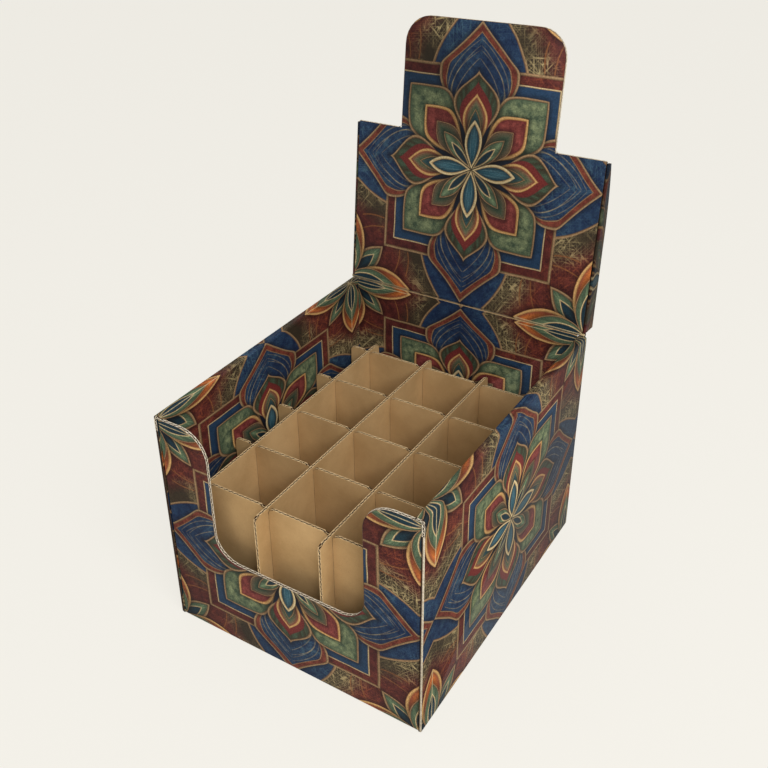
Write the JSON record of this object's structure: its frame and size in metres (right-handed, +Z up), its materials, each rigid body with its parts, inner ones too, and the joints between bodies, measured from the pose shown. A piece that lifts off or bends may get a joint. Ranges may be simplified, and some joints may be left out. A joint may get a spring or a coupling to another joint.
{
  "type": "counter display box",
  "caption": "Open-topped printed corrugated counter display box with double side walls, scooped front, upright hinged header with side wings and a slotted kraft divider grid.",
  "frame": {"origin": "middle of the underside of the tray, where the box rests on a counter", "axes": "+X to the right seen from the front, -Y towards the front with the scooped opening, +Z up"},
  "size_m": [0.2, 0.2571, 0.3799],
  "materials": {
    "printed_board": "fine-flute white board with a dark ornamental print in blue, burgundy, rust and green, slight sheen",
    "kraft_board": "plain uncoated brown kraft corrugated board, matte"
  },
  "bodies": {
    "tray": {"tray": "printed_board", "long_divider_1": "kraft_board", "long_divider_2": "kraft_board", "long_divider_3": "kraft_board", "long_divider_4": "kraft_board", "cross_divider_1": "kraft_board", "cross_divider_2": "kraft_board", "cross_divider_3": "kraft_board", "cross_divider_4": "kraft_board", "cross_divider_5": "kraft_board"},
    "header": {"header": "printed_board"},
    "left_wing": {"left_wing": "printed_board"},
    "right_wing": {"right_wing": "printed_board"}
  },
  "joints": [
    {"name": "header_hinge", "type": "hinge", "parent": "tray", "child": "header", "pos_m": [0, 0.1175, 0.1743], "axis": [1, 0, 0], "range_deg": [-80, 95.6]},
    {"name": "left_wing_hinge", "type": "hinge", "parent": "header", "child": "left_wing", "pos_m": [-0.0982, 0.1175, 0.1743], "axis": [0, 0.0976, 0.9952], "range_deg": [-15, 90]},
    {"name": "right_wing_hinge", "type": "hinge", "parent": "header", "child": "right_wing", "pos_m": [0.0982, 0.1175, 0.1743], "axis": [0, 0.0976, 0.9952], "range_deg": [-90, 15]}
  ]
}
